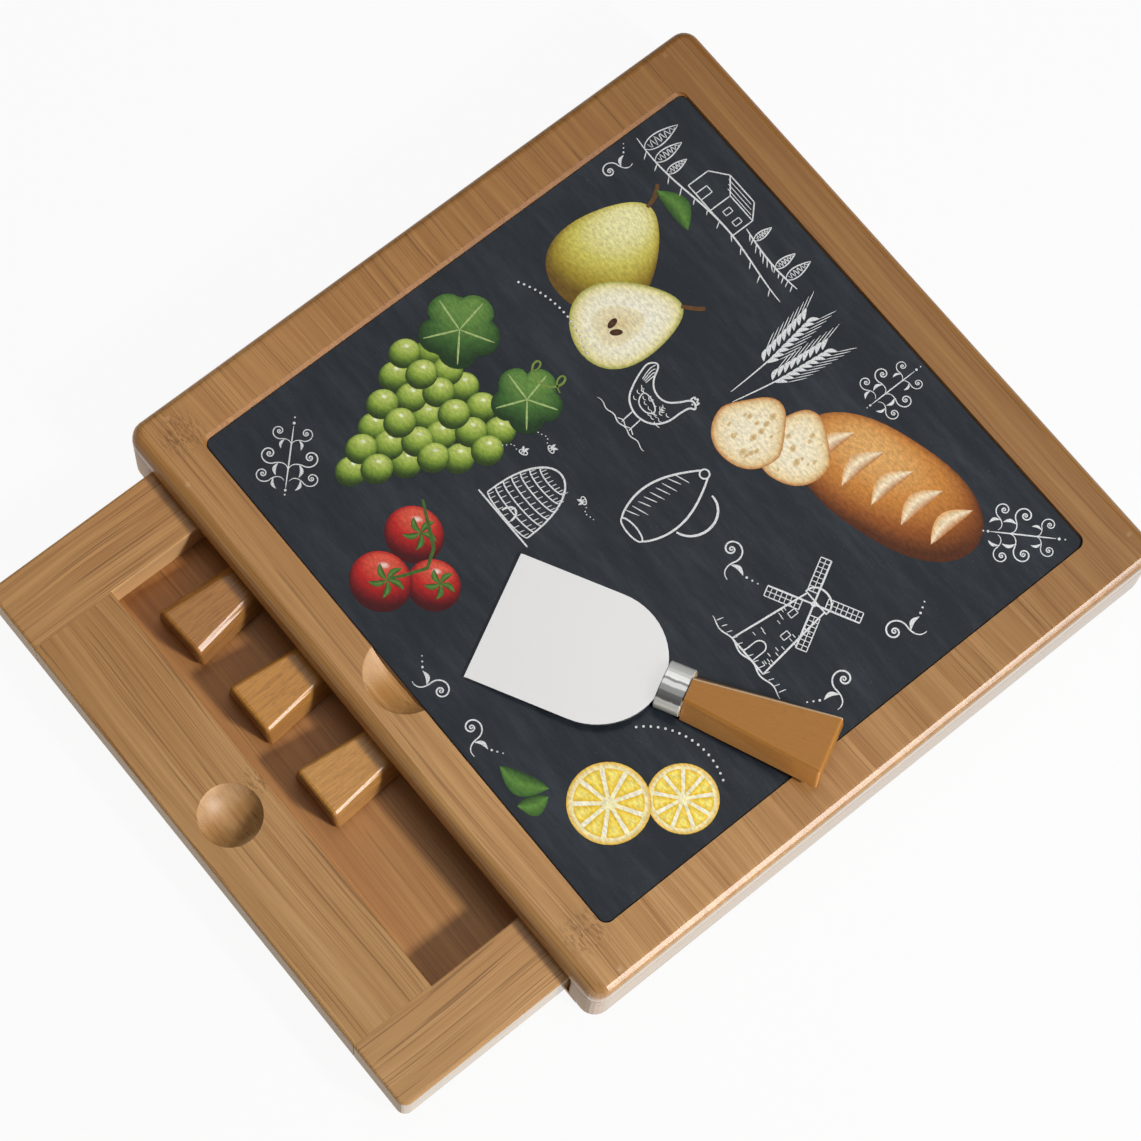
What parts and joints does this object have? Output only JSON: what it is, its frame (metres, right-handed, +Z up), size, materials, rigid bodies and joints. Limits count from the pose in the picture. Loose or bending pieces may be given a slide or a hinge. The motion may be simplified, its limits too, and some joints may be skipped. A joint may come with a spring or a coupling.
{
  "type": "cheese_board",
  "caption": "Square bamboo cheese board with a dark glass inlay, a shallow drawer that slides out of one side, and wooden-handled cheese knives in its tray and on the glass",
  "frame": {"origin": "middle of the board's flat underside", "axes": "+Z up from the underside to the glass; the drawer opens along -Y; +X runs to the board's right as seen from the drawer's side"},
  "size_m": [0.25, 0.315, 0.0458],
  "materials": {
    "bamboo": "glossy lacquer",
    "handle_wood": "glossy lacquer",
    "blade_steel": "satin",
    "plate_glass": "polished",
    "print_film": "matte print"
  },
  "bodies": {
    "board": {"top_panel": "bamboo", "left_side_rail": "bamboo", "right_side_rail": "bamboo", "back_rail": "bamboo", "bottom_panel": "bamboo"},
    "glass": {"glass_plate": "plate_glass", "printed_backing": "print_film"},
    "spade_knife": {"spade_blade": "blade_steel", "spade_ferrule": "blade_steel", "spade_handle": "handle_wood"},
    "drawer": {"drawer_front_rail": "bamboo", "drawer_left_rail": "bamboo", "drawer_right_rail": "bamboo", "drawer_back_rail": "bamboo", "drawer_floor": "bamboo", "fork_blade": "blade_steel", "fork_ferrule": "blade_steel", "fork_handle": "handle_wood", "plane_blade": "blade_steel", "plane_ferrule": "blade_steel", "plane_handle": "handle_wood", "spear_blade": "blade_steel", "spear_ferrule": "blade_steel", "spear_handle": "handle_wood"}
  },
  "joints": [
    {"name": "drawer_slide", "type": "slide", "parent": "board", "child": "drawer", "axis": [0, -1, 0], "range_m": [-0.068, 0.082]},
    {"name": "glass_lift", "type": "slide", "parent": "board", "child": "glass", "axis": [0, 0, 1], "range_m": [0, 0.04]},
    {"name": "spade_lift", "type": "slide", "parent": "glass", "child": "spade_knife", "axis": [0, 0, 1], "range_m": [0, 0.05]}
  ]
}
